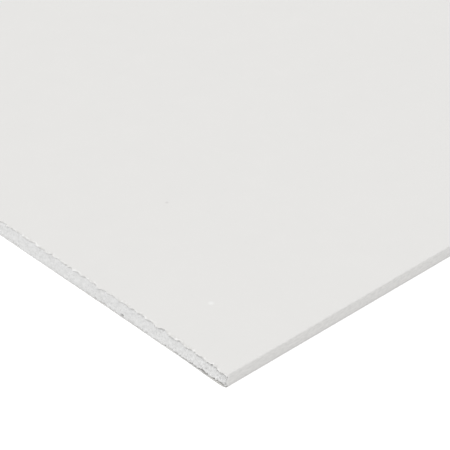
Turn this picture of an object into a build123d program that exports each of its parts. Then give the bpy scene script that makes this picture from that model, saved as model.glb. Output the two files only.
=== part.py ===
from build123d import *
import os
from random import Random

# A full sheet of square-edged gypsum board, lying on its grey back with its ivory face up.
# A foamed gypsum core is cast between two papers. The face paper is wider than the sheet, so it
# wraps both long edges and folds under the back, where the back paper laps over its flaps.
# The two ends are chopped across by a toothed knife, so they show the core and a torn paper edge.
# X runs along the length, Y across the width and Z up through the thickness.
# The origin is the middle of the back, so the back lies on z = 0.

# Sheet
board_length = 2400.0
board_width = 1200.0
board_thickness = 12.5

# Papers
face_paper_thickness = 0.4
back_paper_thickness = 0.4

# Wrapped long edges: the face's arris, the back's arris, and the flap folded under the back
face_arris_radius = 1.1
back_arris_radius = 0.7
flap_width = 29.0

# Lap: the back paper stops short of the long edge, and the flap steps up to pass over it
back_paper_inset = 6.0
lap_step_run = 2.0

# Cut ends: the knife leans, so the face stops short of the back, and the core crumbles
cut_lean = 3.0
core_recess = 0.3
core_crumble = 0.8

# Teeth that the knife leaves along the face paper's cut edge. Each bites in over its rise, a share of
# the pitch between these two, and runs out slowly over the rest. Unevenness is from 0 to 1.
tooth_pitch = 6.7
tooth_least_depth = 0.15
tooth_depth = 1.7
tooth_rise = 0.15, 0.45
tooth_unevenness = 0.6
plain_edge_strip = 5.0

half_length = board_length / 2
half_width = board_width / 2
lap_y = half_width - back_paper_inset
flap_y = half_width - flap_width
ends = (-1, 1)


def wrap_line(depth):
    """Half of the wrap's section from crown to flap, on a line that lies depth under its outside."""
    return FilletPolyline(
        (0, board_thickness - depth),
        (half_width - depth, board_thickness - depth),
        (half_width - depth, depth),
        (lap_y + lap_step_run, depth),
        (lap_y, back_paper_thickness + depth),
        (flap_y, back_paper_thickness + depth),
        radius=[face_arris_radius - depth, back_arris_radius - depth, 0, 0],
    )


def cut_plane(end, recess):
    """Leaning plane of the cut at one end, that far in from the cut itself, facing into the sheet."""
    origin = (end * (half_length - recess), 0, 0)
    return Plane(origin=origin, z_dir=(-end * board_thickness, 0, -cut_lean))


def crumble_plane(end):
    """Plane at 45 degrees that takes the core's loose top arris off at one end."""
    core_top = board_thickness - face_paper_thickness
    origin = (end * (half_length - cut_lean - core_recess - core_crumble), 0, core_top)
    return Plane(origin=origin, z_dir=(-end, 0, -1))


def torn_edge(end):
    """Outline of what the knife's teeth tear out of the face paper at one end."""
    random = Random(f"cut end {end}")
    face_end = half_length - cut_lean
    span = board_width - 2 * plain_edge_strip
    tooth_count = round(span / tooth_pitch)
    tooth_width = span / tooth_count
    start = -span / 2
    points = [(end * half_length, start)]
    for tooth in range(tooth_count):
        foot = start + (tooth + random.uniform(0, tooth_unevenness / 2)) * tooth_width
        crest = foot + random.uniform(*tooth_rise) * tooth_width
        bite = tooth_depth * random.uniform(1 - tooth_unevenness, 1)
        points.append((end * (face_end - tooth_least_depth), foot))
        points.append((end * (face_end - tooth_least_depth - bite), crest))
    points.append((end * half_length, -start))
    return Polyline(*points, close=True)


# Gypsum core: the slab inside the wrap, rebated under both long edges for the flaps
with BuildPart() as gypsum_core:
    with BuildSketch(Plane.YZ):
        with BuildLine():
            wrapped = wrap_line(face_paper_thickness)
            Polyline(wrapped @ 1, (flap_y, back_paper_thickness), (0, back_paper_thickness), wrapped @ 0)
        make_face()
        mirror(about=Plane.YZ)
    extrude(amount=half_length, both=True)
    for end in ends:
        split(bisect_by=cut_plane(end, core_recess), keep=Keep.TOP)
        split(bisect_by=crumble_plane(end), keep=Keep.TOP)

# Face paper: the face, both wrapped edges and both flaps, in one sheet
with BuildPart() as face_paper:
    with BuildSketch(Plane.YZ):
        with BuildLine():
            outside = wrap_line(0)
            inside = wrap_line(face_paper_thickness)
            Line(outside @ 0, inside @ 0)
            Line(outside @ 1, inside @ 1)
        make_face()
        mirror(about=Plane.YZ)
    extrude(amount=half_length, both=True)
    for end in ends:
        split(bisect_by=cut_plane(end, 0), keep=Keep.TOP)
    with BuildSketch(Plane.XY.offset(board_thickness - face_paper_thickness)):
        for end in ends:
            with BuildLine():
                torn_edge(end)
            make_face()
    extrude(amount=face_paper_thickness, mode=Mode.SUBTRACT)

# Back paper: one flat sheet, lapped over both flaps
with BuildPart() as back_paper:
    with BuildSketch(Plane.XY):
        Rectangle(board_length, 2 * lap_y)
    extrude(amount=back_paper_thickness)

os.makedirs("parts", exist_ok=True)

gypsum_core.part.label = "gypsum_core"
export_step(gypsum_core.part, "parts/gypsum_core.step")

face_paper.part.label = "face_paper"
export_step(face_paper.part, "parts/face_paper.step")

back_paper.part.label = "back_paper"
export_step(back_paper.part, "parts/back_paper.step")
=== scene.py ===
# %% [markdown]
# # A sheet of gypsum board, lying ivory face up
# The CAD model comes in as a fixed frame: it has the true sizes, and everything below is built
# around it. In Blender a unit is a metre, so a length is written as so many times mm.

# %% Load the frame
import math

import bmesh
import bpy
import numpy as np
from mathutils import Matrix, Vector


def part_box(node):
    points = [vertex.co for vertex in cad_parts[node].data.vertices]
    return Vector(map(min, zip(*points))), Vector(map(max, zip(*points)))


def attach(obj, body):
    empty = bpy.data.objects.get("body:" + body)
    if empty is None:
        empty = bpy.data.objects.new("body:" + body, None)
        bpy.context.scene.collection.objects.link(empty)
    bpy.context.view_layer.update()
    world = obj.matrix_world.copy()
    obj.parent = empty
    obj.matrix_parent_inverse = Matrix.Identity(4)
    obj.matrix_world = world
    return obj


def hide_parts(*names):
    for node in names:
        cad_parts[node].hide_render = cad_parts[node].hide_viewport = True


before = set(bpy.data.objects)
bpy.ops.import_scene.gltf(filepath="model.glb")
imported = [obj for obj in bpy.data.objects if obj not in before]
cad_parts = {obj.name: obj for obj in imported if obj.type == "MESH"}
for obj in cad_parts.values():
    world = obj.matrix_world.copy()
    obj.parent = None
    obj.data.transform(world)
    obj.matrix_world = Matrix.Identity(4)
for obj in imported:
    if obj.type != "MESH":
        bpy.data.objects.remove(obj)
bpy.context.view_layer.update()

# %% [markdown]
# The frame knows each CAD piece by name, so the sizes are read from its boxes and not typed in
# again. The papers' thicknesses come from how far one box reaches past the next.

mm = 0.001
sheet_low, sheet_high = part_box("face_paper")
core_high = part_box("gypsum_core")[1]
back_low, back_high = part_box("back_paper")
length, width, thickness = sheet_high - sheet_low
half_length, half_width = length / 2, width / 2
face_paper = sheet_high.z - core_high.z
back_paper = back_high.z - back_low.z
lap_y = back_high.y
print("sheet", [round(size / mm, 2) for size in (length, width, thickness)], "mm")
print("papers", round(face_paper / mm, 3), round(back_paper / mm, 3), "mm; lap at", round(lap_y / mm, 1))

# %% [markdown]
# ## Camera
# A product photograph like this one is taken with a long lens, so the edges hardly converge. The
# corner where the cut end meets the wrapped edge is pinned to its place in the picture, and the
# camera stands back from it along its own line of sight. Pinning a known point this way is
# easier to reason about than sliding the camera until it looks right.

# %% Which way the camera looks
heading = math.radians(45.2)
pitch = math.radians(34.04)
roll = math.radians(-1.74)

forward = Vector((
    math.cos(heading) * math.cos(pitch),
    math.sin(heading) * math.cos(pitch),
    -math.sin(pitch),
))
level_right = Vector((math.sin(heading), -math.cos(heading), 0))
level_up = level_right.cross(forward)
right = level_right * math.cos(roll) - level_up * math.sin(roll)
up = level_right * math.sin(roll) + level_up * math.cos(roll)
print("camera looks along", [round(v, 3) for v in forward])

# %% [markdown]
# The lens and the sensor give the number of pixels that one unit of slope takes up. With that, the
# corner's pixel turns into a direction, and the eye lies that way back from the corner.

# %% Camera pinned to the sheet's corner
picture_size = 450
sensor = 36.0
lens = 152.0
stand_off = 1.5177
cut_inset = 0.9 * mm
corner = Vector((sheet_low.x + cut_inset, sheet_low.y, 0))
corner_pixel = (226.1, 388.2)

focal_pixels = lens / sensor * picture_size
across = (corner_pixel[0] - picture_size / 2) / focal_pixels
rise = -(corner_pixel[1] - picture_size / 2) / focal_pixels
eye = corner - stand_off * (forward + across * right + rise * up)

camera = bpy.data.objects.new("camera", bpy.data.cameras.new("camera"))
bpy.context.scene.collection.objects.link(camera)
camera.data.sensor_width = sensor
camera.data.lens = lens
camera.data.clip_start, camera.data.clip_end = 0.05, 200
camera.matrix_world = Matrix.Translation(eye) @ Matrix((right, up, -forward)).transposed().to_4x4()
bpy.context.scene.camera = camera
print("camera at", [round(v, 3) for v in eye])

# %% [markdown]
# ## Light
# The sheet is matt and nearly white, so it shows its form only by how much light each side gets.
# One broad soft sun from the camera's left gives the top the most, the cut end less and the
# wrapped edge least, and an even white world fills the rest. Their strengths add up to one on
# the top, so a colour there renders about as it is written.

# %% Sun
world_share = 0.77
sun_towards = Vector((-0.30, 0.02, 1.0)).normalized()
sun_spread = math.radians(40)

sun = bpy.data.objects.new("soft_sun", bpy.data.lights.new("soft_sun", "SUN"))
bpy.context.scene.collection.objects.link(sun)
sun.data.energy = (1 - world_share) * math.pi / sun_towards.z
sun.data.angle = sun_spread
sun.rotation_mode = "QUATERNION"
sun.rotation_quaternion = sun_towards.to_track_quat("Z", "Y")
print("sun's strength", round(sun.data.energy, 3), "and the world's", world_share)

# %% [markdown]
# The world has two jobs that want different strengths: it lights the sheet, and it is the white
# behind the sheet. The Light Path node tells a ray from the camera apart from a ray of light, so
# a Mix Shader can give each its own background.

# %% World and view
white = (1, 1, 1, 1)
backdrop_strength = 1.0

world = bpy.data.worlds.new("studio")
bpy.context.scene.world = world
world.use_nodes = True
nodes, links = world.node_tree.nodes, world.node_tree.links
nodes.clear()
path = nodes.new("ShaderNodeLightPath")
switch = nodes.new("ShaderNodeMixShader")
out = nodes.new("ShaderNodeOutputWorld")
for place, strength in ((1, world_share), (2, backdrop_strength)):
    background = nodes.new("ShaderNodeBackground")
    background.inputs["Color"].default_value = white
    background.inputs["Strength"].default_value = strength
    links.new(background.outputs["Background"], switch.inputs[place])
links.new(path.outputs["Is Camera Ray"], switch.inputs["Fac"])
links.new(switch.outputs["Shader"], out.inputs["Surface"])
bpy.context.scene.view_settings.view_transform = "Standard"
print("world:", len(nodes), "nodes")

# %% [markdown]
# ## Floor
# A floor in the same plane as the sheet's back would fight with it for the same pixels in a view
# from below, and it would hide the grey back there. So the floor lies a hair lower, and an inset
# opens it under the sheet, well inside the sheet's outline. No view from above can find the
# opening, and a view from below finds the back. Both papers start from a plane too, so laying
# one is a function. It applies the scale, which puts the true size into the mesh.

# %% Lay the floor
floor_size = 80.0
floor_drop = 0.05 * mm
floor_margin = 12 * mm


def lay_plane(name, height, long, wide):
    """A level plane of that size at that height, left open in edit mode."""
    bpy.ops.object.select_all(action="DESELECT")
    bpy.ops.mesh.primitive_plane_add(size=1, location=(0, 0, height))
    plane = bpy.context.object
    plane.name = name
    plane.scale = (long, wide, 1)
    bpy.ops.object.transform_apply(location=True, rotation=True, scale=True)
    bpy.ops.object.mode_set(mode="EDIT")
    return plane


floor = lay_plane("floor", -floor_drop, floor_size, floor_size - length + width)
bpy.ops.mesh.select_all(action="SELECT")
bpy.ops.mesh.inset(thickness=(floor_size - length) / 2 + floor_margin)
bpy.ops.mesh.delete(type="FACE")
bpy.ops.object.mode_set(mode="OBJECT")
print("floor", [round(side, 2) for side in floor.dimensions.xy], "m")

# %% [markdown]
# The floor is paper-white like the backdrop of a product photograph. Its diffuse part carries the
# sheet's soft shadow, and a little glow that only the camera sees lifts it to clean white. The
# glow is switched by the Light Path node, so it puts no extra light on the sheet.

# %% Floor's finish
floor_colour = (0.85, 0.85, 0.85, 1)
floor_glow = 0.5


def start_material(name):
    """A new material with an empty node tree, a Principled shader and an output."""
    material = bpy.data.materials.new(name)
    material.use_nodes = True
    tree = material.node_tree
    tree.nodes.clear()
    shader = tree.nodes.new("ShaderNodeBsdfPrincipled")
    output = tree.nodes.new("ShaderNodeOutputMaterial")
    tree.links.new(shader.outputs["BSDF"], output.inputs["Surface"])
    return material, tree, shader


floor_material, tree, shader = start_material("studio_floor")
shader.inputs["Base Color"].default_value = floor_colour
shader.inputs["Roughness"].default_value = 1.0
shader.inputs["Emission Color"].default_value = white
light_path = tree.nodes.new("ShaderNodeLightPath")
glow = tree.nodes.new("ShaderNodeMath")
glow.operation = "MULTIPLY"
glow.inputs[1].default_value = floor_glow
tree.links.new(light_path.outputs["Is Camera Ray"], glow.inputs[0])
tree.links.new(glow.outputs["Value"], shader.inputs["Emission Strength"])
floor.data.materials.append(floor_material)
print("floor's finish:", len(tree.nodes), "nodes")

# %% [markdown]
# ## Chance and drawn lines
# Paper tears and plaster crumbles by chance, but not at every scale alike. A smooth random field
# is made from random values on a square grid, blended in between, so its lumps are about as big
# as the grid's squares. The last number of each call is a seed, and the same seed gives the same
# field on each run. Most calls add the end's number to it, -1 or 1, so that the sheet's two ends
# aren't alike.
# Where the photograph shows one particular break, a line is drawn through a few places
# instead, counted in millimetres from the photographed corner.

# %% Random fields, and lines drawn by hand
def smooth_noise(u, v, size, seed):
    """Smooth random field from -1 to 1 over u and v, whose lumps are about that size."""
    dice = np.random.default_rng(seed)
    column, row = np.floor(u / size).astype(int), np.floor(v / size).astype(int)
    a, b = u / size - column, v / size - row
    a, b = a * a * (3 - 2 * a), b * b * (3 - 2 * b)
    column, row = column - column.min(), row - row.min()
    knots = dice.uniform(-1, 1, (column.max() + 2, row.max() + 2))
    near = knots[column, row] * (1 - b) + knots[column, row + 1] * b
    far = knots[column + 1, row] * (1 - b) + knots[column + 1, row + 1] * b
    return near * (1 - a) + far * a


def along_noise(y, size, seed):
    """Smooth random line from -1 to 1 across the sheet."""
    return smooth_noise(y, np.zeros_like(y), size, seed)


def from_corner(y):
    """Distance from the photographed long edge."""
    return y + half_width


def bend(y, places, values):
    """A line drawn through a few given places. Places and values are given in millimetres."""
    return np.interp(from_corner(y), np.array(places) * mm, np.array(values) * mm)


def fade(distance, reach, start=1):
    """From 1 down to 0 over that reach. A start over 1 holds it at 1 for a while first."""
    return np.clip(start - distance / reach, 0, 1)


sample = along_noise(np.linspace(0, 100, 500) * mm, 5 * mm, 1)
print("a random line with lumps of 5 mm runs from", sample.min().round(2), "to", sample.max().round(2))

# %% [markdown]
# ## How the cut runs
# The ends of a gypsum board are chopped by a toothed knife while the board is still damp. The
# knife leans, so the ivory face stops short of the grey back. Three pieces meet along this cut:
# the face paper, the core and the back paper. So the cut is told once, as plain functions of the
# place across the sheet, and each piece asks the same functions. That keeps paper and core in
# step. The cut's foot stands a little in from the frame's end, and torn tongues of paper reach
# out to it. The knock that crushed the photographed corner took most of the lean away there.

# %% The knife's lean
ends = (-1, 1)
photographed_end = -1
knife_lean = 2.4 * mm
corner_zone = 66.0 * mm
lean_places, leans = [0, 12, 17, 52, 66], [0.5, 0.7, 1.2, 1.4, knife_lean / mm]


def lean_at(y, end):
    """How far the top of the cut stands back from its foot."""
    if end != photographed_end:
        return np.full_like(y, knife_lean)
    return bend(y, lean_places, leans)


sample = np.array([0, 30, 600]) * mm - half_width
print("lean at 0, 30 and 600 mm:", (lean_at(sample, photographed_end) / mm).round(2), "mm")

# %% [markdown]
# The same knock bowed the foot of the cut out, as far as the frame's end, and further along the
# foot wanders by a few tenths of a millimetre. Everything that meets the cut at the bottom
# starts from this line.

# %% The foot of the cut
foot_drawn_reach = 300.0 * mm
bow_places = [0, 3, 6, 14, 18, 24, 38, 46, 57, 66, 78, 100, 290, 300]
bows = [0.1, 0.4, 0.6, 0.7, 0.9, 0.8, 0.65, 0.35, 0.1, 0.35, 0.35, 0.15, 0.2, 0]


def foot_at(y, end):
    """How far the foot of the cut stands in from the frame's end."""
    foot = np.full_like(y, cut_inset)
    if end == photographed_end:
        foot -= bend(y, bow_places, bows)
    return foot


foot = foot_at(sample, photographed_end) / mm
print("foot at 0, 30 and 600 mm stands", foot.round(2), "mm in")

# %% [markdown]
# Each tooth of the knife leaves a bite in the paper: it tears in quickly, then runs out slowly,
# and no two are alike. For most of the two ends the teeth come from chance, within limits.

# %% The paper's teeth
plain_edge = 3.0 * mm
drawn_reach = 200.0 * mm
tooth_pitch = (6.0 * mm, 14.0 * mm)
tooth_foot = (-0.3 * mm, 0.6 * mm)
tooth_bite = (0.8 * mm, 2.3 * mm)
tooth_rise = (0.05, 0.35)
tooth_shoulder = (0.2, 0.6)
shoulder_bite = (0.3, 0.8)


def make_teeth(end, start):
    """Places across the sheet, and how far the paper's torn edge stands back from the leaning cut."""
    dice = np.random.default_rng(50 + end)
    places, bites = [], []
    place = start
    while place < half_width - plain_edge - tooth_pitch[1]:
        pitch = dice.uniform(*tooth_pitch)
        foot, bite = dice.uniform(*tooth_foot), dice.uniform(*tooth_bite)
        rise = dice.uniform(*tooth_rise) * pitch
        shoulder = place + rise + (pitch - rise) * dice.uniform(*tooth_shoulder)
        places += [place, place + rise, shoulder]
        bites += [foot, bite, foot + (bite - foot) * dice.uniform(*shoulder_bite)]
        place += pitch
    return places + [half_width - plain_edge], bites + [0]


teeth_start = {end: plain_edge - half_width for end in ends}
teeth_start[photographed_end] = drawn_reach - half_width
teeth = {end: make_teeth(end, teeth_start[end]) for end in ends}
print("teeth at each end:", [len(teeth[end][0]) // 3 for end in ends])

# %% [markdown]
# The photograph shows the first 200 mm of one end well enough to tell tear from tear. There the
# line is drawn through listed places instead. Each pair is a place along the cut and how far the
# paper is torn back at it, and only the points where the edge turns are given.

# %% The tears in the photographed paper
tears = (
    (0, -0.2), (3, 0.3), (5, 0.2), (10, 0.3), (12.5, 1.4), (17.5, 1.7), (18.5, 2.9), (20, 1.6),
    (24, 1.1), (33.5, 2.5), (35, 1.3), (40, 2.6), (44.5, 3.2), (46, 1.8), (50, 1.2), (59.5, 3.9),
    (60.5, 1.8), (66, 2.2), (72, 2.2), (77, 4.5), (81.5, 4.2), (83, 2.7), (86, 1.6), (88, 3.1),
    (94, 4.0), (99, 2.9), (103, 4.2), (110, 3.1), (116, 4.2), (119, 2.7), (125, 3.7), (134, 2.9),
    (141, 3.5), (145.5, 3.4), (147, 2.4), (151, 3.7), (160, 1.5), (164, 3.6), (170, 2.7), (178, 4.1),
    (182, 2.2), (188, 3.8), (192, 2.1), (197, 3.6), (200, 2.4),
)


def torn_back(y, end):
    """How far the paper's edge is torn back from the leaning cut."""
    back = np.interp(y, *teeth[end])
    if end == photographed_end:
        drawn = from_corner(y) < drawn_reach
        back[drawn] = (bend(y, *zip(*tears)) - lean_at(y, end))[drawn]
    return back


# %% [markdown]
# Torn paper also has a fringe of loose fibre, so hairs in two sizes are laid over the tears. They
# die away before the wrapped edges, where the paper is folded double and tears clean.

# %% The paper's edge, with its hairs
hair_fade = 2.0 * mm
fine_hair, fine_hair_size = 0.38 * mm, 0.9 * mm
coarse_hair, coarse_hair_size = 0.22 * mm, 2.1 * mm


def off_the_arris(y):
    """1 on the face and 0 on the plain strips by both long edges."""
    return np.clip((half_width - plain_edge - np.abs(y)) / hair_fade, 0, 1)


def paper_edge(y, end):
    """How far the paper's torn edge stands in from the frame's end, with its hairs."""
    hairs = along_noise(y, fine_hair_size, 70 + end) * fine_hair
    hairs += along_noise(y, coarse_hair_size, 60 + end) * coarse_hair
    return cut_inset + lean_at(y, end) + torn_back(y, end) + hairs * off_the_arris(y)


def print_span(what, distances):
    """Prints the least and the most of some distances."""
    print(what, f"{distances.min() / mm:.2f} to {distances.max() / mm:.2f} mm")


sample = np.linspace(plain_edge - half_width, half_width - plain_edge, 2000)
for end in ends:
    print_span(f"paper's edge at end {end} stands in by", paper_edge(sample, end))

# %% [markdown]
# The knife presses the paper's edge down before it cuts, so the edge dips below the face. At the
# photographed corner a knock bent it down further, over a longer reach.

# %% How the pressed edge dips
dip_reach = 1.6 * mm
roll_depth, roll_change, roll_size = 0.3 * mm, 0.26 * mm, 2.6 * mm
knock_places = [1, 2.5, 4, 5.2, 6.8, 9, 11, 12.3, 14]
knock_dips = [0, 0.4, 0.2, 0.2, 0.5, 0.8, 0.7, 0.2, 0]
knock_reach_places, knock_reaches = [5, 8, 11, 14], [0, 1.4, 1.4, 0]


def roll_at(y, end):
    """How far the pressed paper edge dips below the face."""
    dip = (roll_depth + along_noise(y, roll_size, 80 + end) * roll_change) * off_the_arris(y)
    if end == photographed_end:
        dip += bend(y, knock_places, knock_dips)
    return dip


def dip_behind_edge(distance, y, end):
    """Dip of the paper at that distance behind its torn edge."""
    reach = dip_reach
    if end == photographed_end:
        reach = reach + bend(y, knock_reach_places, knock_reaches)
    return roll_at(y, end) * fade(distance, reach) ** 2


sample = np.linspace(0, 60, 400) * mm - half_width
print_span("pressed edge by the corner dips by", roll_at(sample, photographed_end))

# %% [markdown]
# Wear isn't even along the cut. The core is crumbled most by the corner that is knocked most, and
# the back paper gapes there too. Two shares say how bad each is, and the far end of the sheet
# gets what is left of them.

# %% How worn the cut is
lip_places = [50, 58, 80, 90, 106, 115, 130, 200]
lip_shares = [2.0, 1.4, 1.1, 1.5, 1.7, 0.7, 0.7, 0.25]
gape_places, gape_shares = [50, 70, 180, 240], [1.2, 0.6, 0.75, 0.3]


def wear_along(y, end, places, shares):
    """Share of wear by distance from the photographed corner. The other end gets the last share."""
    if end != photographed_end:
        return np.full_like(y, shares[-1])
    return np.interp(from_corner(y), np.array(places) * mm, shares)


def lip_wear(y, end):
    """How badly the core is crumbled under the paper's edge."""
    return wear_along(y, end, lip_places, lip_shares)


def foot_wear(y, end):
    """How far the back paper gapes under the core."""
    return wear_along(y, end, gape_places, gape_shares)


sample = np.array([30, 130, 600]) * mm - half_width
print("lip wear at 30, 130 and 600 mm:", lip_wear(sample, photographed_end).round(2))
print("foot wear at 30, 130 and 600 mm:", foot_wear(sample, photographed_end).round(2))

# %% [markdown]
# ## Helpers for working by hand
# Operators act on whatever is selected, so each step first selects exactly what it means. Edges
# are picked by where they are, because a place is easier to read than an index.

# %% Picking edges
tiny = 0.01 * mm


def pick_edges(piece, wanted):
    """In edit mode, selects only the edges whose two ends pass the test."""
    bpy.ops.mesh.select_mode(type="EDGE")
    bpy.ops.mesh.select_all(action="DESELECT")
    shape = bmesh.from_edit_mesh(piece.data)
    for edge in shape.edges:
        if wanted(edge.verts[0].co, edge.verts[1].co):
            edge.select_set(True)
    bmesh.update_edit_mesh(piece.data)


def runs_across(a, b):
    """True for an edge that runs across the sheet, level."""
    return abs(a.x - b.x) < tiny and abs(a.z - b.z) < tiny and abs(a.y - b.y) > tiny


def cut_rows(distances):
    """In edit mode, bisects everything across the length, that far from each end."""
    for end in ends:
        for distance in distances:
            bpy.ops.mesh.select_all(action="SELECT")
            bpy.ops.mesh.bisect(plane_co=(end * (half_length - distance), 0, 0), plane_no=(1, 0, 0))


# %% [markdown]
# A tear has thousands of small places, too many to pull by hand. So the operators lay out the
# mesh, and then its points are read as one table, moved by the functions above and written back.
# Values that a material needs later, such as where fibre is torn open, are stored beside the
# points as named attributes.

# %% Reading, writing and marking points
def read_points(piece):
    """The piece's points as rows of x, y and z."""
    points = np.empty(len(piece.data.vertices) * 3)
    piece.data.vertices.foreach_get("co", points)
    return points.reshape(-1, 3)


def write_points(piece, points):
    """Puts the points back and refreshes the mesh."""
    piece.data.vertices.foreach_set("co", points.ravel())
    piece.data.update()


def mark_points(piece, name, values):
    """Stores one value for each point, for a material's Attribute node."""
    piece.data.attributes.new(name, "FLOAT", "POINT").data.foreach_set("value", values)


# %% [markdown]
# Every piece is finished in the same way: normals outwards, then smooth shading except across
# edges sharper than the crease angle, so a soft arris looks soft and a torn edge stays crisp.

# %% Solidify and finish
def give_thickness(piece, thick, group=""):
    """Turns a sheet into paper: Solidify grows it inwards, thinner where a vertex group says so."""
    bpy.context.view_layer.objects.active = piece
    solid = piece.modifiers.new("paper", "SOLIDIFY")
    solid.thickness = thick
    solid.offset = -1
    solid.vertex_group = group
    bpy.ops.object.modifier_apply(modifier=solid.name)


def finish_mesh(piece, crease):
    """Outward normals, and smooth shading but for edges over the crease angle, in degrees."""
    bpy.ops.object.mode_set(mode="EDIT")
    bpy.ops.mesh.select_all(action="SELECT")
    bpy.ops.mesh.normals_make_consistent(inside=False)
    bpy.ops.object.mode_set(mode="OBJECT")
    bpy.ops.object.select_all(action="DESELECT")
    piece.select_set(True)
    bpy.context.view_layer.objects.active = piece
    bpy.ops.object.shade_smooth_by_angle(angle=math.radians(crease))
    piece.data.calc_loop_triangles()
    print(piece.name, "has", len(piece.data.loop_triangles), "triangles")


# %% [markdown]
# ## Face paper
# One sheet of ivory paper covers the face, turns down over both long edges and folds under the
# back as a flap. It could be three plates, but then the rounded arris would show a seam. Here
# it is one plane whose long edges are extruded down, in and along, as the paper is folded in
# the factory. The folds are then bevelled, and Solidify gives the sheet its thickness last, so
# that both skins follow the same curves.

# %% Fold the face paper
face_arris, face_arris_steps = 1.1 * mm, 8
back_arris, back_arris_steps = 0.7 * mm, 6
flap_width = 29.0 * mm
lap_step = 2.0 * mm
rim_width = half_width - lap_y

face_sheet = lay_plane("face_sheet", thickness, length, width)
for side in ends:
    pick_edges(face_sheet, lambda a, b: min(side * a.y, side * b.y) > half_width - tiny)
    folds = (
        (0, 0, -thickness),
        (0, -side * (rim_width - lap_step), 0),
        (0, -side * lap_step, back_paper),
        (0, -side * (flap_width - rim_width), 0),
    )
    for fold in folds:
        bpy.ops.mesh.extrude_edges_move(TRANSFORM_OT_translate={"value": fold})

arrises = ((thickness, face_arris, face_arris_steps), (0, back_arris, back_arris_steps))
for height, radius, steps in arrises:
    pick_edges(
        face_sheet,
        lambda a, b: min(abs(a.y), abs(b.y)) > half_width - tiny
        and max(abs(a.z - height), abs(b.z - height)) < tiny,
    )
    bpy.ops.mesh.bevel(offset=radius, segments=steps, affect="EDGES")
print("folded face paper has", len(bmesh.from_edit_mesh(face_sheet.data).verts), "points")

# %% [markdown]
# The torn edge needs fine rows close to the cut and fine columns across the sheet, but nothing
# in the middle. So planes bisect the sheet near its ends, and the edges that run across it are
# subdivided. The face takes two rounds, since one subdivision can't make enough cuts, and a third
# by the photographed corner.

# %% Fine rows and columns at the cut
tear_rows = np.array([0.2, 0.45, 0.8, 1.3, 2.1, 3.5, 6.0, 12.0]) * mm
tear_reach = tear_rows[-1]
wall_least = 5 * mm


def on_face(a, b):
    """True for an edge across the ivory face."""
    return runs_across(a, b) and a.z > thickness - tiny


def by_corner(a, b):
    """True for an edge across the face within the corner zone."""
    return on_face(a, b) and max(a.y, b.y) < corner_zone - half_width


def on_flap(a, b):
    """True for an edge across a flap, which lies on the back paper's level."""
    return runs_across(a, b) and abs(a.z - back_paper) < tiny


def on_rim(a, b):
    """True for an edge across the rim that the back paper leaves bare."""
    return runs_across(a, b) and abs(a.z) < tiny


def on_wall(a, b):
    """True for an upright edge of the wrapped side."""
    upright = abs(a.x - b.x) < tiny and abs(a.y - b.y) < tiny
    return upright and abs(a.z - b.z) > wall_least


cut_rows(tear_rows)
rounds = ((on_face, 39), (on_face, 34), (by_corner, 1), (on_flap, 40), (on_rim, 4), (on_wall, 15))
for where, cuts in rounds:
    pick_edges(face_sheet, where)
    bpy.ops.mesh.subdivide(number_cuts=cuts)
bpy.ops.object.mode_set(mode="OBJECT")
print("face paper now has", len(face_sheet.data.vertices), "points")

# %% [markdown]
# Three stretches of the paper meet the cut. The face's edge is the torn one from above. The
# wrapped edge only follows the knife's lean, and at the photographed corner it is chafed, most at
# its foot and near its top. The flap under the back ends a hair unevenly, and at that corner a
# tongue of it, with a notch in the middle, reaches out past the cut.

# %% Where the wrap and the flap end
wrap_lean_share = 0.6
wrap_fray, wrap_fray_size = 0.15 * mm, 1.1 * mm
flap_start, flap_fray, flap_fray_size = 0.2 * mm, 0.3 * mm, 2.3 * mm
flap_tongue_places = [2, 4, 8, 9, 10, 13, 16, 21, 22, 30]
flap_tongue_setbacks = [0, -1.0, -0.9, 0.9, -0.9, -0.9, 0, 0.2, 2.4, 2.4]
chafe_reach = 1.4 * mm
chafe_heights = [0.3, 0.8, 2.2, 3.6, 6, 8, 9.5, 10.8, 11.4]
chafe_depths = [0.2, 1.8, 1.6, 0.2, 0.5, 0.8, 1.3, 1.3, 0]


def wrap_edge(y, z, end):
    """How far the wrapped edge's paper stands in from the frame's end."""
    setback = cut_inset + lean_at(y, end) * (z / thickness) * wrap_lean_share
    setback += smooth_noise(y, z, wrap_fray_size, 90 + end) * wrap_fray
    if end == photographed_end:
        worn = fade(from_corner(y), chafe_reach)
        setback += worn * np.interp(z / mm, chafe_heights, chafe_depths) * mm
    return setback


def flap_edge(y, end):
    """How far the flap's paper stands in from the frame's end."""
    setback = foot_at(y, end) + flap_start + along_noise(y, flap_fray_size, 94 + end) * flap_fray
    if end == photographed_end:
        setback += bend(y, flap_tongue_places, flap_tongue_setbacks)
    return setback


sample = np.linspace(0, flap_width, 200) - half_width
print_span("flap at the photographed corner stands in by", flap_edge(sample, photographed_end))

# %% [markdown]
# Where paper tears, its plies split: here and there white fibre fluffs up, and beside it the
# greyer inside of the paper shows. The whiter fibre also carries painted highlight, where the
# torn lip curls up into the light, and the greyer plies carry painted shade, where the pressed
# edge turns down. One field tells both, with the fluff and its highlight above zero and the
# greyer plies and their shade below it. It fades out within a few millimetres of the edge.

# %% Where the torn fibre shows, with its painted highlight and shade
fluff_reach, fluff_change, fluff_size = 3.2 * mm, 2.4 * mm, 3.4 * mm
fibre_patch, fibre_contrast, fibre_bias = 1.9 * mm, 1.35, -0.05
most_scuff_and_shade = -0.6
clean_foot, left_at_foot = 2.5 * mm, 0.1
fluff_start = 1.3


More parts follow.
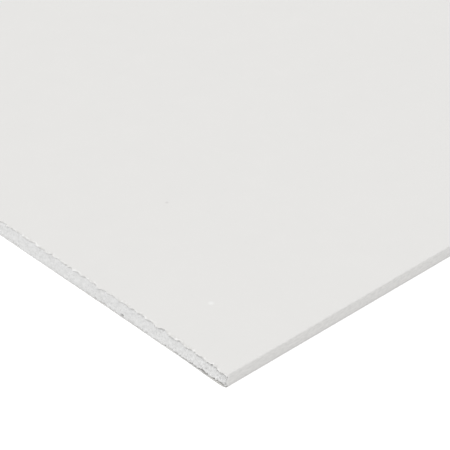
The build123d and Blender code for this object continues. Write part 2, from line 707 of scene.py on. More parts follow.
def fibre_light_and_shade_at(y, z, distance, end):
    """Torn fibre at that distance from the edge: 1 is all fluff with painted highlight, and below 0 the
    greyer plies show with painted shade.
    """
    patches = fibre_contrast * smooth_noise(y, distance, fibre_patch, 97 + end) + fibre_bias
    patches = np.clip(patches, most_scuff_and_shade, 1) * np.clip(z / clean_foot, left_at_foot, 1)
    fluff = fluff_reach + along_noise(y, fluff_size, 98 + end) * fluff_change
    return np.clip(fluff_start * (1 - distance / fluff), 0, 1) * patches


# %% [markdown]
# Tearing is moving points, more the nearer they are to the cut, and not at all at the last of the
# fine rows. The paper is also thinned towards its torn edge, as its plies come away one by one.
# A vertex group holds how much of it is left.

# %% Tear the face paper along the cut
thinned_rows, thinned_shares = [0, 0.2 * mm, 0.8 * mm], [0.35, 0.65, 1.0]
above_flap = 0.5 * thickness

points = read_points(face_sheet)
x, y, z = points.T
torn = np.zeros(len(points))
paper_left = np.ones(len(points))
for end in ends:
    mine = (np.sign(x) == end) & (half_length - np.abs(x) < tear_reach + tiny)
    distance = half_length - np.abs(x[mine])
    here, height = y[mine], z[mine]
    on_top = height > thickness - face_arris
    on_side = (half_width - np.abs(here) < tiny * 2) | (height > above_flap)
    setback = np.where(on_side, wrap_edge(here, height, end), flap_edge(here, end))
    setback = np.where(on_top, paper_edge(here, end), setback)
    setback = np.clip(setback, 0, None)
    x[mine] = end * (half_length - distance - setback * (1 - distance / tear_reach))
    behind = distance * (1 - setback / tear_reach)
    dip = np.where(on_top, dip_behind_edge(behind, here, end), 0)
    z[mine] -= dip
    # The torn mark holds whiter fibre with painted highlight, and greyer plies with painted shade.
    torn[mine] = fibre_light_and_shade_at(here, height, distance, end)
    paper_left[mine] = np.interp(distance, thinned_rows, thinned_shares)
    deepest = [round(float(most.max()) / mm, 2) for most in (setback, dip)]
    print("face paper at end", end, "is torn back and pressed down by up to", deepest, "mm")
write_points(face_sheet, points)
mark_points(face_sheet, "torn", torn)

# %% [markdown]
# Solidify can be told to grow less in places by a vertex group. Its new points come after the old
# ones, so the inner skin can be marked by number, and the material makes it greyer.

# %% Give the face paper its thickness
paper_crease = 35

group = face_sheet.vertex_groups.new(name="paper_left")
for share in np.unique(paper_left):
    group.add(np.flatnonzero(paper_left == share).tolist(), float(share), "REPLACE")
give_thickness(face_sheet, face_paper, group.name)
face_sheet.vertex_groups.clear()
inner_skin = np.zeros(len(face_sheet.data.vertices))
inner_skin[len(points):] = 1
mark_points(face_sheet, "inner_skin", inner_skin)
finish_mesh(face_sheet, paper_crease)

# %% [markdown]
# ## Gypsum core
# The core shows only at the two cut ends, where it is broken rather than cut: fluted by the
# knife's teeth, pitted by air bubbles and crumbled away under the paper. Sculpting a block of
# that size would spend its points on hidden faces. Instead each end is one fine grid, wrapped
# from under the sheet, up the cut and onto the top, and the two grids are bridged. All the
# detail is then where the eye can reach. First comes the plain section that the core fills.

# %% The core's section
core_half_width = core_high.y
core_arris = face_arris - face_paper
core_foot_arris = back_arris - face_paper
flap_y = half_width - flap_width
flap_top = back_paper + face_paper
flap_ramp = 0.4 * mm


def core_top(y):
    """Height of the core's top across the sheet, with its rounded arrises."""
    over = np.clip(np.abs(y) - (core_half_width - core_arris), 0, core_arris)
    return core_high.z - core_arris + np.sqrt(core_arris**2 - over**2)


def core_bottom(y):
    """Height of the core's underside: on the back paper in the middle, on the flaps at the sides."""
    places = np.array([0, flap_y - flap_ramp, flap_y, lap_y, lap_y + lap_step, half_width])
    heights = np.array([back_paper, back_paper, flap_top, flap_top, face_paper, face_paper])
    over = np.clip(np.abs(y) - (core_half_width - core_foot_arris), 0, core_foot_arris)
    arris = core_foot_arris - np.sqrt(core_foot_arris**2 - over**2)
    return np.interp(np.abs(y), places, heights) + arris


sample = np.array([0, flap_y + 5 * mm, half_width - 3 * mm])
print("core starts", (core_bottom(sample) / mm).round(2), "mm up at the middle, a flap and a rim")

# %% [markdown]
# The back paper lets go of the core here and there, which shows as a thin broken shadow along the
# foot of the cut. At the photographed corner it gapes wider and further in, by listed gaps.

# %% The gap under the core
foot_gap, foot_gap_reach = 0.16 * mm, 3.0 * mm
long_dash, long_dash_share = 5.0 * mm, 0.6
short_dash, short_dash_share = 1.7 * mm, 0.4
dash_base, dash_change = 0.7, 2.2
split_reach, split_change, split_size = 7.0 * mm, 0.3, 2.4 * mm
split_places = [0.5, 2, 5, 9, 12, 16, 19, 22, 24, 27, 30, 33, 35, 38, 42, 46, 60]
split_gaps = [0.6, 0.7, 0.8, 0.4, 0.5, 0.8, 0.7, 0.3, 1.1, 1.2, 0.9, 0.5, 0.3, 0.6, 0.7, 0.3, 0]


def foot_gap_at(back, y, end):
    """Height of the gap under the core at that distance from the cut."""
    dashes = along_noise(y, long_dash, 30 + end) * long_dash_share
    dashes += along_noise(y, short_dash, 32 + end) * short_dash_share
    gap = foot_gap * np.clip(dash_base + dashes * dash_change, 0, None) * fade(back, foot_gap_reach)
    gap *= foot_wear(y, end)
    if end == photographed_end:
        split = bend(y, split_places, split_gaps)
        split *= 1 + split_change * along_noise(y, split_size, 31)
        gap = np.maximum(gap, split * fade(back, split_reach))
    return gap


sample = np.linspace(0, 60, 400) * mm - half_width
gap = foot_gap_at(np.zeros_like(sample), sample, photographed_end)
print_span("gap under the core by the corner:", gap)

# %% [markdown]
# Broken plaster is lumpy. Along most of the cut the lumps are low. They are bolder near the
# photographed corner, and in two places there the gypsum is crushed into loose crumbs. Lumps that
# stand out get painted light in the material, more the further they stand out, so the same
# function also feeds the material. A patch of sample places by that corner shows how far this
# form and the next ones go.

# %% Lumps in the broken face
lump_height, lump_size = 0.30, 1.5 * mm
bold_places, bold_lumps = [70, 130], [1.6, 1.0]
crumb_height, crumb_size = 1.5, 1.2 * mm
clod_height, clod_size = 1.1, 2.1 * mm
crushed_spots = (((6, 5), (6, 5), 1.4), ((24, 3), (3.5, 3), 1.3))


def round_spot(y, z, middle, size, start=1):
    """A spot on the broken face that fades outwards. Its middle and size are in millimetres."""
    along = (from_corner(y) / mm - middle[0]) / size[0]
    up_cut = (z / mm - middle[1]) / size[1]
    return fade(np.hypot(along, up_cut), 1, start)


def crushed_at(y, z):
    """How loose the gypsum is at the photographed corner, in its two crushed places."""
    return sum(round_spot(y, z, *spot) for spot in crushed_spots)


def lumps_at(y, z, end):
    """How far lumps stand out of the broken face."""
    lumps = smooth_noise(y, z, lump_size, 24 + end) * lump_height
    lumps *= wear_along(y, end, bold_places, bold_lumps)
    if end == photographed_end:
        loose = smooth_noise(y, z, crumb_size, 39) * crumb_height
        loose += smooth_noise(y, z, clod_size, 40) * clod_height
        lumps -= crushed_at(y, z) * loose
    return lumps * mm


patch = np.meshgrid(np.arange(0, 60, 0.3) * mm - half_width, np.arange(0, thickness, 0.3 * mm))
print_span("lumps by the corner:", lumps_at(*patch, photographed_end))

# %% [markdown]
# The knife drags upright flutes down the face, over broad waves, and air bubbles leave small pits
# in it. Each is a random field of its own size. A few broad scoops are where a lump broke away.

# %% Flutes, waves, pits and scoops
flute_depth, flute_size, flute_draw = 0.22 * mm, 1.3 * mm, 0.3
wave_depth, wave_size = 0.35 * mm, 3.6 * mm
pit_depth, pit_size = 0.35 * mm, 0.9 * mm
scoop_depth, scoop_size, scoop_least = 1.4 * mm, 8 * mm, 0.5


def rough_face_at(y, z, end):
    """How far the broken face stands back in its flutes, waves, pits and scoops."""
    rough = smooth_noise(y, z * flute_draw, flute_size, 19 + end) * flute_depth
    rough += smooth_noise(y, z, wave_size, 21 + end) * wave_depth
    rough += np.clip(smooth_noise(y, z, pit_size, 27 + end), 0, 1) * pit_depth
    rough += np.clip(smooth_noise(y, z, scoop_size, 36 + end) - scoop_least, 0, 1) * scoop_depth
    return rough


print_span("flutes, waves, pits and scoops there:", rough_face_at(*patch, photographed_end))

# %% [markdown]
# Under the paper's edge the gypsum crumbles away and leaves the paper hanging over a dark slit,
# deeper in some places, with a few real holes. At the foot a thin ledge stays on the back paper,
# and it is deepest where the cut is worn.

# %% Crumbled top and ledged foot
crumble_start, crumble_depth, crumble_size = 0.86, 1.1 * mm, 3.0 * mm
crumble_base, crumble_change = 0.45, 1.1
hole_start, hole_depth, hole_size, hole_least = 0.87, 2.4 * mm, 1.9 * mm, 0.3
hole_rim = 0.05
ledge_share, ledge_depth, ledge_size, ledge_change = 0.1, 1.0 * mm, 2.0 * mm, 0.6


def crumbled_at(y, share, end):
    """How far the face stands back where its top is crumbled, at that share of its height."""
    crumble = crumble_base + crumble_change * along_noise(y, crumble_size, 33 + end)
    crumble = np.clip(crumble, 0, None) * lip_wear(y, end)
    top = np.clip((share - crumble_start) / (1 - crumble_start), 0, 1)
    holes = np.clip(along_noise(y, hole_size, 34 + end) - hole_least, 0, 1) * lip_wear(y, end)
    holes *= np.clip((share - hole_start) / hole_rim, 0, 1)
    return top**2 * crumble * crumble_depth + holes * hole_depth


def ledge_at(y, share, end):
    """How far the face steps back at its foot."""
    ledge = (1 + ledge_change * along_noise(y, ledge_size, 38 + end)) * ledge_depth
    return fade(share, ledge_share) * ledge * np.minimum(foot_wear(y, end), 1)


patch_y, patch_share = patch[0], patch[1] / thickness
print_span("crumbled top there:", crumbled_at(patch_y, patch_share, photographed_end))
print_span("ledge there:", ledge_at(patch_y, patch_share, photographed_end))

# %% [markdown]
# The photographed corner has damage that chance won't repeat, so each form of it is given one by
# one, in millimetres along the cut and up it. There is a cave under the bent paper, a pocket at
# the very corner, a seam where the core left the wrap, a crushed foot and a row of gouges under
# the torn edge. A shallow shell and a chip further along are both scooped out round.

# %% The photographed corner's damage
cave_places, cave_floors = [0, 4, 6, 9, 12.5, 13.5], [12, 11.2, 10.2, 9.6, 9.8, 12]
cave_depth, cave_rim = 3.2, 0.4
pocket_middle, pocket_length = (1.7, 10.0), 1.3
pocket_depth, pocket_fill = 4.0, 1.6
seam_heights, seam_depths = [4, 6, 9, 11], [0, 1, 2, 2]
seam_reach, seam_start = 1.4, 1.2
foot_heights, foot_depths = [0.3, 0.8, 2.2, 3.4], [0, 2.4, 2.4, 0]
foot_reach, foot_start = 3.5, 1.5
shell = ((15.5, 8.5), (4.0, 3.5), 0.8)
chip = ((126.4, 1.2), (1.8, 1.6), 4.0)
gouge_places = [13, 14, 15, 15.6, 16.8, 17.8, 18.4, 19.6, 21, 22.6, 24, 25.6, 35, 37, 39]
gouge_depths = [0, 1.8, 0.3, 0.3, 3, 0.5, 0.5, 3.5, 0, 0, 3.2, 0, 0, 2.4, 0]
gouge_rim = 0.05


def corner_damage_at(y, share):
    """How much further the face stands back in the photographed corner's damage."""
    place, up_cut = from_corner(y) / mm, share * thickness / mm
    cave = np.clip((up_cut - np.interp(place, cave_places, cave_floors)) / cave_rim, 0, 1)
    pocket = ((place - pocket_middle[0]) / pocket_length) ** 2 + (up_cut - pocket_middle[1]) ** 2
    damage = np.clip(np.exp(-pocket) * pocket_fill, 0, 1) * pocket_depth + cave * cave_depth
    for middle, size, depth in (shell, chip):
        damage += np.sqrt(round_spot(y, share * thickness, middle, size)) * depth
    gouges = np.interp(place, gouge_places, gouge_depths)
    damage += gouges * np.clip((share - crumble_start) / gouge_rim, 0, 1)
    damage += fade(place, seam_reach, seam_start) * np.interp(up_cut, seam_heights, seam_depths)
    damage += fade(place, foot_reach, foot_start) * np.interp(up_cut, foot_heights, foot_depths)
    return damage * mm


print_span("damage by the corner:", corner_damage_at(patch_y, patch_share))

# %% [markdown]
# All of it adds up to one distance: how far the broken face stands in from the frame's end. It
# leans with the knife, hangs back a little more than the paper and follows the paper's tears
# faintly, except where the corner is crushed.

# %% Where the broken face stands
overhang, overhang_change, overhang_size = 1.1 * mm, 0.6 * mm, 4.2 * mm
foot_recess, least_recess = 0.15 * mm, 0.05 * mm
tear_share, least_hang = 0.4, 0.3


def core_back_at(y, share, end):
    """How far the core's broken face stands in, at that place and share of its height."""
    z = share * thickness
    hang = overhang + along_noise(y, overhang_size, 17 + end) * overhang_change
    hang *= np.clip(lip_wear(y, end), least_hang, 1)
    foot, top = foot_at(y, end), cut_inset + lean_at(y, end) + hang
    back = foot_recess + foot * (1 - share) + top * share
    whole = (from_corner(y) > corner_zone) | (end != photographed_end)
    back += torn_back(y, end) * tear_share * share * whole
    back += rough_face_at(y, z, end) - lumps_at(y, z, end)
    back += crumbled_at(y, share, end) + ledge_at(y, share, end)
    if end == photographed_end:
        back += corner_damage_at(y, share)
    return np.maximum(back, foot + least_recess)


print_span("broken face there stands in by", core_back_at(patch_y, patch_share, photographed_end))

# %% [markdown]
# The grid's rows are shared out as listed: a few run in along the underside, most climb the broken
# face, closer together near its top and foot, and a few run in under the paper. The columns are
# closest by the photographed corner, and the last few at each side crowd round the arrises.

# %% Rows and columns for the core's ends
under_rows = np.array([12.0, 8.0, 5.0, 2.8, 1.3, 0.5]) * mm
foot_shares, top_shares = [0, 0.03, 0.065], [0.86, 0.885, 0.91, 0.935, 0.96, 0.98, 1]
face_rows = np.concatenate([foot_shares, np.linspace(0.1, 0.82, 15), top_shares])
over_rows = np.array([0.35, 0.8, 1.4, 2.4, 4.5]) * mm
core_row_count = len(under_rows) + len(face_rows) + len(over_rows)

close_step, near_step, near_zone, far_count = 0.33 * mm, 0.68 * mm, 300 * mm, 620
turn_count = 6
flat_half = core_half_width - core_arris
turn = np.sin(np.linspace(0, math.pi / 2, turn_count + 1))[1:] * core_arris
close_columns = np.arange(-flat_half, corner_zone - half_width, close_step)
near_columns = np.arange(corner_zone - half_width, near_zone - half_width, near_step)
far_columns = np.linspace(near_zone - half_width, flat_half, far_count)
columns = (-(flat_half + turn)[::-1], close_columns, near_columns, far_columns, flat_half + turn)
column_places = np.concatenate(columns)
core_columns = len(column_places) - 1
print("core's ends have", core_row_count, "rows and", len(column_places), "columns each")

# %% [markdown]
# Each end is a flat grid at first, from -0.5 to 0.5 both ways. So a point's place tells its row
# and column, and it can be sent to where it belongs on the underside, the broken face or the top.
# Just under the paper's edge the top is let down a little, which makes the slit there.

# %% Lay one grid over each broken end
lip_gap, lip_gap_reach, lip_gap_size, lip_gap_change = 0.3 * mm, 3.0 * mm, 3.1 * mm, 1.6
# The lump height at which the painted light on a raised lump is full.
full_light_lump = 0.5 * mm


def break_end(end):
    """One fine grid, wrapped round the core's broken end."""
    bpy.ops.object.select_all(action="DESELECT")
    bpy.ops.mesh.primitive_grid_add(
        x_subdivisions=core_columns, y_subdivisions=core_row_count - 1, size=1
    )
    cap = bpy.context.object
    points = read_points(cap)
    column = np.rint((points[:, 0] + 0.5) * core_columns).astype(int)
    row = np.rint((points[:, 1] + 0.5) * (core_row_count - 1)).astype(int)
    y = column_places[column]
    first_face, first_over = len(under_rows), len(under_rows) + len(face_rows)
    under, over = row < first_face, row >= first_over
    share = face_rows[np.clip(row - first_face, 0, len(face_rows) - 1)]
    inward = np.zeros(len(points))
    inward[under] = under_rows[row[under]]
    inward[over] = over_rows[row[over] - first_over]
    back = core_back_at(y, share, end) + inward
    behind = np.clip(back - paper_edge(y, end), 0, None)
    low = core_bottom(y) + foot_gap_at(back - foot_at(y, end), y, end)
    high = core_top(y) - dip_behind_edge(behind, y, end)
    lip = 1 + lip_gap_change * along_noise(y, lip_gap_size, 43 + end)
    high -= lip_gap * np.clip(lip, 0, None) * lip_wear(y, end) * fade(behind, lip_gap_reach)
    write_points(cap, np.stack([end * (half_length - back), y, low + (high - low) * share], axis=1))
    # How far each lump stands out is stored for the material's painted light.
    mark_points(cap, "raised_light", np.clip(lumps_at(y, share * thickness, end) / full_light_lump, 0, 1))
    return cap


caps = [break_end(end) for end in ends]

# %% [markdown]
# The two ends are joined into one object, and Bridge Edge Loops draws the long plain sides
# between their open rims. That is far fewer faces than a block with the same fine ends.

# %% Bridge the two ends
gypsum_crease = 55

bpy.ops.object.select_all(action="DESELECT")
for cap in caps:
    cap.select_set(True)
core = caps[0]
core.name = "core"
bpy.context.view_layer.objects.active = core
bpy.ops.object.join()
bpy.ops.object.mode_set(mode="EDIT")
bpy.ops.mesh.select_mode(type="EDGE")
bpy.ops.mesh.select_all(action="DESELECT")
bpy.ops.mesh.select_non_manifold()
bpy.ops.mesh.bridge_edge_loops()
bpy.ops.object.mode_set(mode="OBJECT")
finish_mesh(core, gypsum_crease)

# %% [markdown]
# ## Back paper
# The grey paper under the sheet is a flat strip laid over both flaps. It is a plane, turned face
# down before Solidify so that it grows upwards, and cut into fine rows and columns as the face
# paper was.

# %% Lay the back paper
fray_rows = np.array([0.3, 0.8, 2.0, 6.0]) * mm
fray_reach = fray_rows[-1]

back_sheet = lay_plane("back_sheet", 0, length, 2 * lap_y)
bpy.ops.mesh.select_all(action="SELECT")
bpy.ops.mesh.flip_normals()
cut_rows(fray_rows)
for cuts in (39, 35):
    pick_edges(back_sheet, runs_across)
    bpy.ops.mesh.subdivide(number_cuts=cuts)
bpy.ops.object.mode_set(mode="OBJECT")
print("back paper has", len(back_sheet.data.vertices), "points")

# %% [markdown]
# Its ends fray a little. Here and there a broad tongue reaches further out, and so does a small
# one at the photographed corner.

# %% Fray the back paper's ends
fray_start, fray_depth, fray_size = 0.1 * mm, 0.2 * mm, 2.1 * mm
tongue_reach, tongue_size, tongue_least = 1.8 * mm, 26 * mm, 0.45
corner_tongue_places, corner_tongue = [3, 5, 13, 15], [0, -0.9, -0.8, 0]

points = read_points(back_sheet)
x, y, z = points.T
for end in ends:
    distance = half_length - np.abs(x)
    mine = (np.sign(x) == end) & (distance < fray_reach + tiny)
    fray = foot_at(y[mine], end) + fray_start
    fray += along_noise(y[mine], fray_size, 41 + end) * fray_depth
    tongues = along_noise(y[mine], tongue_size, 45 + end) - tongue_least
    if end == photographed_end:
        fray += bend(y[mine], corner_tongue_places, corner_tongue)
        tongues[from_corner(y[mine]) < foot_drawn_reach] = 0
    fray -= np.clip(tongues, 0, 1) * tongue_reach
    x[mine] -= end * np.clip(fray, 0, None) * (1 - distance[mine] / fray_reach)
write_points(back_sheet, points)
give_thickness(back_sheet, back_paper)
print("back paper reaches to", ((half_length - np.abs(x).max()) / mm).round(2), "mm from the end")

# %% [markdown]
# Gypsum dust whitens the grey paper where it shows below the core. An attribute marks it: a wide
# band on the inner skin, which lay against the core, and a narrow one on the outer skin. Near
# the photographed corner some of it was knocked off.

# %% Dust on the back paper
inner_dust, inner_start, outer_dust = 3.2 * mm, 1.4, 0.8 * mm
dust_places = [8, 9, 10, 14, 17, 22, 24, 27, 30]
dust_left = [0.5, 0.1, 0.5, 0.5, 0.4, 0.9, 0.3, 0.6, 1]

x, y, z = read_points(back_sheet).T
distance = half_length - np.abs(x)
inside_dust = inner_start - distance / inner_dust
outside_dust = 1 - (distance - cut_inset) / outer_dust
dust = np.where(z > back_paper / 2, inside_dust, outside_dust)
knocked = np.sign(x) == photographed_end
left = np.where(knocked, wear_along(y, photographed_end, dust_places, dust_left), 1)
mark_points(back_sheet, "dust", np.clip(dust, 0, 1) * left)
finish_mesh(back_sheet, paper_crease)

# %% [markdown]
# ## Tools for the materials
# A material is a tree of nodes. These few helpers add a node, feed it with numbers or with other
# nodes' outputs and hand back its own output, so that a finish reads from top to bottom. Most
# masks here are a value times a slope plus a start, kept from 0 to 1.

# %% Adding nodes
def put(tree, kind, **settings):
    """A new node with its settings."""
    node = tree.nodes.new(kind)
    for name, value in settings.items():
        setattr(node, name, value)
    return node


def math_node(tree, operation, first, second=None, third=None, clamp=False):
    """A Math node fed by sockets or plain numbers, and its output."""
    node = put(tree, "ShaderNodeMath", operation=operation, use_clamp=clamp)
    for place, value in enumerate((first, second, third)):
        if value is None:
            continue
        if isinstance(value, (int, float)):
            node.inputs[place].default_value = value
        else:
            tree.links.new(value, node.inputs[place])
    return node.outputs["Value"]


def mask(tree, value, slope, start):
    """Start plus slope times the value, kept from 0 to 1."""
    return math_node(tree, "MULTIPLY_ADD", value, slope, start, clamp=True)


def blend_colours(tree, factor, first, second):
    """A Mix node between two colours, and its output."""
    node = put(tree, "ShaderNodeMix", data_type="RGBA")
    shares = [place for place in node.inputs if place.name == "Factor" and place.type == "VALUE"]
    colours = [place for place in node.inputs if place.type == "RGBA"]
    for place, value in zip(shares + colours, (factor, first, second)):
        if isinstance(value, (tuple, float)):
            place.default_value = value
        else:
            tree.links.new(value, place)
    return [place for place in node.outputs if place.type == "RGBA"][0]


# %% [markdown]
# A pattern has to stay on the piece when the camera moves, so every texture reads the piece's own
# Object coordinates. Paper is drawn through the machine along its length, and squeezing the
# coordinates that way draws a pattern out with it. Relief that is too fine to model goes through
# a Bump node.

# %% Patterns and relief in a material
def own_place(tree):
    """The piece's own coordinates, which don't slide when the camera moves."""
    return put(tree, "ShaderNodeTexCoord").outputs["Object"]


def drawn_along(tree, place, share):
    """Coordinates squeezed along the length, so that a pattern is drawn out along the sheet."""
    node = put(tree, "ShaderNodeVectorMath", operation="MULTIPLY")
    node.inputs[1].default_value = (share, 1, 1)
    tree.links.new(place, node.inputs[0])
    return node.outputs["Vector"]


def texture(tree, kind, place, size, **inputs):
    """A texture node read at that place, with features of that size, and its outputs."""
    node = put(tree, kind)
    node.inputs["Scale"].default_value = 1 / size
    for name, value in inputs.items():
        node.inputs[name].default_value = value
    tree.links.new(place, node.inputs["Vector"])
    return node.outputs


def attribute(tree, name):
    """A value stored on the piece's points."""
    return put(tree, "ShaderNodeAttribute", attribute_name=name).outputs["Fac"]


def bump(tree, shader, height, depth, strength):
    """Feeds a height in metres times depth to the shader's normal."""
    node = put(tree, "ShaderNodeBump")
    node.inputs["Distance"].default_value = depth
    node.inputs["Strength"].default_value = strength
    tree.links.new(height, node.inputs["Height"])
    tree.links.new(node.outputs["Normal"], shader.inputs["Normal"])


# %% [markdown]
# ## Paper fibre, as a node group
# Both papers are the same stuff, pressed fibre, in other colours. So the pattern is built once,
# as a group with named inputs and outputs: a soft cloudiness as seen when paper is held to light,
# fibres drawn out along the machine's direction, and a few flecks. Each paper then sets its own
# sizes, and its own colours stay outside the group.

# %% The group's sockets
paper_fibre = bpy.data.node_groups.new("paper_fibre", "ShaderNodeTree")
paper_fibre.interface.new_socket(name="Place", in_out="INPUT", socket_type="NodeSocketVector")
for name in ("Cloud Size", "Fibre Size", "Fleck Spacing", "Fleck Radius"):
    paper_fibre.interface.new_socket(name=name, in_out="INPUT", socket_type="NodeSocketFloat")
for name in ("Cloud", "Fibre", "Fleck"):
    paper_fibre.interface.new_socket(name=name, in_out="OUTPUT", socket_type="NodeSocketFloat")
inside = put(paper_fibre, "NodeGroupInput").outputs
outside = put(paper_fibre, "NodeGroupOutput").inputs

# %% [markdown]
# Cloud and fibre are the same kind of noise at two sizes. A noise texture asks for a scale, which
# is one over the size, so the group divides and its inputs can stay plain sizes in metres.

# %% Cloud and fibre
fibre_draw = 0.35


def group_noise(place, size_name, detail):
    """Noise inside the group, whose size is one of the group's inputs."""
    noise = put(paper_fibre, "ShaderNodeTexNoise")
    noise.inputs["Detail"].default_value = detail
    paper_fibre.links.new(place, noise.inputs["Vector"])
    scale = math_node(paper_fibre, "DIVIDE", 1.0, inside[size_name])
    paper_fibre.links.new(scale, noise.inputs["Scale"])
    return noise.outputs["Fac"]


paper_fibre.links.new(group_noise(inside["Place"], "Cloud Size", detail=3), outside["Cloud"])
fibre_place = drawn_along(paper_fibre, inside["Place"], fibre_draw)
paper_fibre.links.new(group_noise(fibre_place, "Fibre Size", detail=2), outside["Fibre"])

# %% [markdown]
# A Voronoi texture scatters points and gives the distance to the nearest. Cut off at a small
# radius, that distance makes flecks.

# %% Flecks
spots = put(paper_fibre, "ShaderNodeTexVoronoi")
paper_fibre.links.new(inside["Place"], spots.inputs["Vector"])
spot_scale = math_node(paper_fibre, "DIVIDE", 1.0, inside["Fleck Spacing"])
paper_fibre.links.new(spot_scale, spots.inputs["Scale"])
fleck_reach = math_node(paper_fibre, "DIVIDE", inside["Fleck Radius"], inside["Fleck Spacing"])
from_spot = math_node(paper_fibre, "DIVIDE", spots.outputs["Distance"], fleck_reach)
fleck = math_node(paper_fibre, "SUBTRACT", 1.0, from_spot, clamp=True)
paper_fibre.links.new(fleck, outside["Fleck"])
print("paper fibre group:", len(paper_fibre.nodes), "nodes")


# %% [markdown]
# Each paper puts the group to the same uses: cloud and fibre together mottle its two shades, and
# the fibre alone makes it rougher in places and gives the bump. Those uses are one function.

# %% What every paper gets from the group
def lay_paper(tree, shader, sizes, shades, fibre_share, least_rough, more_rough, relief, strength):
    """The group at those sizes, the two shades it mottles, roughness and relief."""
    group = put(tree, "ShaderNodeGroup", node_tree=paper_fibre)
    tree.links.new(own_place(tree), group.inputs["Place"])
    for name, size in sizes.items():
        group.inputs[name].default_value = size
    cloud, fibre, fleck = (group.outputs[name] for name in ("Cloud", "Fibre", "Fleck"))
    fibre_part = math_node(tree, "MULTIPLY", fibre, fibre_share)
    mottle = math_node(tree, "MULTIPLY_ADD", cloud, 1 - fibre_share, fibre_part)
    roughness = math_node(tree, "MULTIPLY_ADD", fibre, more_rough, least_rough)
    tree.links.new(roughness, shader.inputs["Roughness"])
    bump(tree, shader, fibre, relief, strength)
    return blend_colours(tree, mottle, *shades), fleck


def add_marks(tree, mark, share, tint, mark_colour):
    """Lays a mark of another colour over the tint, that share of it at the most."""
    return blend_colours(tree, math_node(tree, "MULTIPLY", mark, share), tint, mark_colour)


# %% [markdown]
# ## Ivory face paper
# Ivory liner is almost even: the photograph varies by one step in 255. So two shades of ivory
# that lie close together are blended by the cloud and the fibre, and what carries the paper is
# the fibre in the bump. A white fleck shows here and there.

# %% The plain face
ivory = (0.812, 0.803, 0.787, 1)
ivory_shade = (0.787, 0.780, 0.765, 1)
white_fleck, white_fleck_share = (0.93, 0.93, 0.93, 1), 0.6
ivory_sizes = {
    "Cloud Size": 25 * mm, "Fibre Size": 1.1 * mm, "Fleck Spacing": 55 * mm, "Fleck Radius": 0.9 * mm
}

ivory_material, tree, shader = start_material("ivory_paper")
shader.inputs["Specular IOR Level"].default_value = 0.25
tint, flecks = lay_paper(
    tree, shader, ivory_sizes, (ivory, ivory_shade), fibre_share=0.3,
    least_rough=0.72, more_rough=0.12, relief=0.06 * mm, strength=0.5,
)

# %% [markdown]
# Where the paper is drawn over the long edges it creases, which mottles it, and its foot gets
# painted shade, darker towards the floor. How far a point is from the middle of the sheet tells
# whether it is on the wrap, so no second material is needed.

# %% The wrapped edges
wrap_pale = (0.850, 0.840, 0.823, 1)
# The darker wrap tone of the mottle, also used as painted shade along the wrap's foot.
wrap_dull_and_foot_shade = (0.757, 0.750, 0.736, 1)
crease_size, crease_draw = 1.7 * mm, 0.36
crease_contrast, crease_bias = 3.0, -1.0
foot_shade_height, foot_shade_start, foot_shade_share = 3.4 * mm, 1.2, 0.75

place = own_place(tree)
crease_place = drawn_along(tree, place, crease_draw)
creases = texture(tree, "ShaderNodeTexNoise", crease_place, crease_size, Detail=2)["Fac"]
creased = mask(tree, creases, crease_contrast, crease_bias)
wrap_tint = blend_colours(tree, creased, wrap_pale, wrap_dull_and_foot_shade)
spread = put(tree, "ShaderNodeSeparateXYZ")
tree.links.new(place, spread.inputs["Vector"])
# Painted shade along the foot of the wrap, strongest by the floor.
foot_shade = mask(tree, spread.outputs["Z"], -1 / foot_shade_height, foot_shade_start)
wrap_tint = add_marks(tree, foot_shade, foot_shade_share, wrap_tint, wrap_dull_and_foot_shade)
off_middle = math_node(tree, "ABSOLUTE", spread.outputs["Y"])
arris_start = half_width - face_arris
on_wrap = mask(tree, off_middle, 1 / face_arris, -arris_start / face_arris)
tint = blend_colours(tree, on_wrap, tint, wrap_tint)
tint = add_marks(tree, flecks, white_fleck_share, tint, white_fleck)

# %% [markdown]
# Two small marks on the photographed face are worth keeping: a crumb of gypsum and a grey speck.
# Each is a round spot, made from the distance to its place. Starting the fade over 1 keeps the
# middle of the spot full.

# %% A crumb and a speck
gypsum_crumb, speck_grey = (0.875, 0.875, 0.865, 1), (0.70, 0.69, 0.68, 1)
face_marks = (
    ((-1.1413, -0.5211, thickness), 3.4 * mm, gypsum_crumb),
    ((-1.0657, -0.3835, thickness), 2.2 * mm, speck_grey),
)
mark_start = 1.2

for mark_place, radius, colour in face_marks:
    apart = put(tree, "ShaderNodeVectorMath", operation="DISTANCE")
    tree.links.new(place, apart.inputs[0])
    apart.inputs[1].default_value = mark_place
    spot = mask(tree, apart.outputs["Value"], -mark_start / radius, mark_start)
    tint = blend_colours(tree, spot, tint, colour)

# %% [markdown]
# Torn fibres at the cut are a shade lighter, and that lighter colour is also a painted highlight
# where the torn lip curls up into the light. The paper's inner plies are greyer, which shows
# where a layer's edge or underside can be seen, and the same grey is also painted shade where the
# pressed edge turns down. The attributes stored on the points say where.

# %% Torn fibre and inner plies, with painted highlight and shade
# Whiter torn fibre, lightened further as painted highlight on the curled torn lip.
torn_fibre_and_highlight = (0.93, 0.925, 0.915, 1)
# Greyer inner plies; at the torn edge the same grey also stands for painted shade.
inner_ply_and_shade = (0.68, 0.67, 0.65, 1)

torn_mark = attribute(tree, "torn")
# Above zero: whiter fibre with painted highlight. Below zero: greyer plies with painted shade.
fluff_and_highlight = math_node(tree, "MULTIPLY", torn_mark, 1.0, clamp=True)
scuff_and_shade = math_node(tree, "MULTIPLY", torn_mark, -1.0, clamp=True)
tint = blend_colours(tree, fluff_and_highlight, tint, torn_fibre_and_highlight)
tint = blend_colours(tree, scuff_and_shade, tint, inner_ply_and_shade)
tint = blend_colours(tree, attribute(tree, "inner_skin"), tint, inner_ply_and_shade)
tree.links.new(tint, shader.inputs["Base Color"])
print("ivory paper:", len(tree.nodes), "nodes")

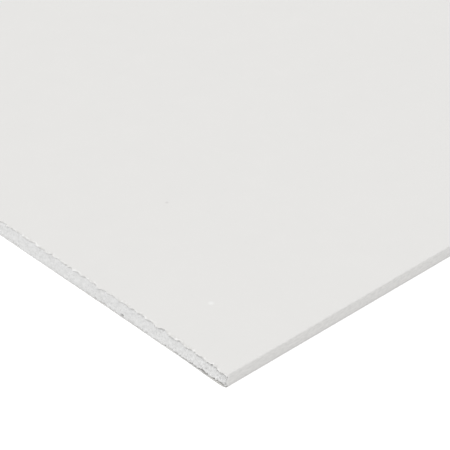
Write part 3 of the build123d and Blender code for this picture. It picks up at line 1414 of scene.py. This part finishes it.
# %% [markdown]
# ## Gypsum
# The broken core is matt, white and full of air bubbles. Two sizes of Voronoi cells make the
# pits, with noise added so that they are ragged and not round, and a broader noise gathers them
# in patches. The pits are dug into the relief and get painted shade in the colour, and the lumps
# that stand out get painted light.

# %% Gypsum's pits and grain
gypsum_white = (0.838, 0.838, 0.833, 1)
# Painted shade inside the air bubbles' pits, darker than the gypsum.
gypsum_pit_shade = (0.60, 0.60, 0.59, 1)
# Painted light on the lumps that stand out.
gypsum_raised_light = (0.93, 0.93, 0.925, 1)
grain_size, grain_share = 0.5 * mm, 0.5
bubbles = ((1.5 * mm, 2.4, 1.0), (0.7 * mm, 2.0, 0.5))
pit_rim, pit_start = 0.25, 0.9
cluster_size, cluster_contrast, cluster_bias = 2.6 * mm, 3.0, -0.9

gypsum_material, tree, shader = start_material("gypsum")
place = own_place(tree)
grain = texture(tree, "ShaderNodeTexNoise", place, grain_size, Detail=4)["Fac"]
pits = []
for size, steepness, share in bubbles:
    bubble = texture(tree, "ShaderNodeTexVoronoi", place, size)["Distance"]
    ragged = math_node(tree, "MULTIPLY_ADD", grain, grain_share, bubble)
    depth = mask(tree, ragged, -steepness, steepness * pit_rim + pit_start)
    pits.append(math_node(tree, "MULTIPLY", depth, share))
clusters = texture(tree, "ShaderNodeTexNoise", place, cluster_size, Detail=2)["Fac"]
clustered = mask(tree, clusters, cluster_contrast, cluster_bias)
pit = math_node(tree, "MULTIPLY", math_node(tree, "MAXIMUM", *pits), clustered)

# %% [markdown]
# The same pit mask paints shade into the colour and digs the relief, so the two always agree.

# %% Gypsum's colour and relief
pit_relief, gypsum_relief, relief_strength = -0.8, 0.35 * mm, 0.8

# Lumps that stand out are painted lighter: painted light.
tint = blend_colours(tree, attribute(tree, "raised_light"), gypsum_white, gypsum_raised_light)
# Pits darken the colour: painted shade in the hollows.
tree.links.new(blend_colours(tree, pit, tint, gypsum_pit_shade), shader.inputs["Base Color"])
shader.inputs["Roughness"].default_value = 0.95
shader.inputs["Specular IOR Level"].default_value = 0.15
relief = math_node(tree, "MULTIPLY_ADD", pit, pit_relief, grain)
bump(tree, shader, relief, gypsum_relief, relief_strength)
print("gypsum:", len(tree.nodes), "nodes")

# %% [markdown]
# ## Grey back paper
# The back liner is made from recycled newsprint, so it is rougher and darker than the face, its
# two greys lie further apart, and it is full of small dark flecks. It uses the same fibre group
# with its own sizes. Dust from the core is laid over it where the attribute says.

# %% Grey back paper
grey = (0.46, 0.45, 0.43, 1)
grey_shade = (0.37, 0.36, 0.345, 1)
dark_fleck, dark_fleck_share = (0.12, 0.11, 0.10, 1), 0.7
gypsum_dust, dust_share = (0.84, 0.835, 0.825, 1), 0.9
grey_sizes = {
    "Cloud Size": 12 * mm, "Fibre Size": 1.6 * mm, "Fleck Spacing": 6 * mm, "Fleck Radius": 0.6 * mm
}

grey_material, tree, shader = start_material("grey_paper")
shader.inputs["Specular IOR Level"].default_value = 0.2
tint, flecks = lay_paper(
    tree, shader, grey_sizes, (grey_shade, grey), fibre_share=0.5,
    least_rough=0.78, more_rough=0.15, relief=0.12 * mm, strength=0.6,
)
tint = add_marks(tree, flecks, dark_fleck_share, tint, dark_fleck)
tint = add_marks(tree, attribute(tree, "dust"), dust_share, tint, gypsum_dust)
tree.links.new(tint, shader.inputs["Base Color"])
print("grey paper:", len(tree.nodes), "nodes")

# %% [markdown]
# ## Hand the pieces to the frame
# Each piece rides on the one body, stands for its CAD node, which is then hidden, and takes its
# finish.

# %% Ride, replace and finish
pieces = (
    (face_sheet, "face_paper", "ivory_paper", ivory_material),
    (core, "gypsum_core", "gypsum", gypsum_material),
    (back_sheet, "back_paper", "grey_paper", grey_material),
)
for piece, node, slot, material in pieces:
    piece.data.materials.clear()
    piece.data.materials.append(material)
    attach(piece, "root")
    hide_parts(node)
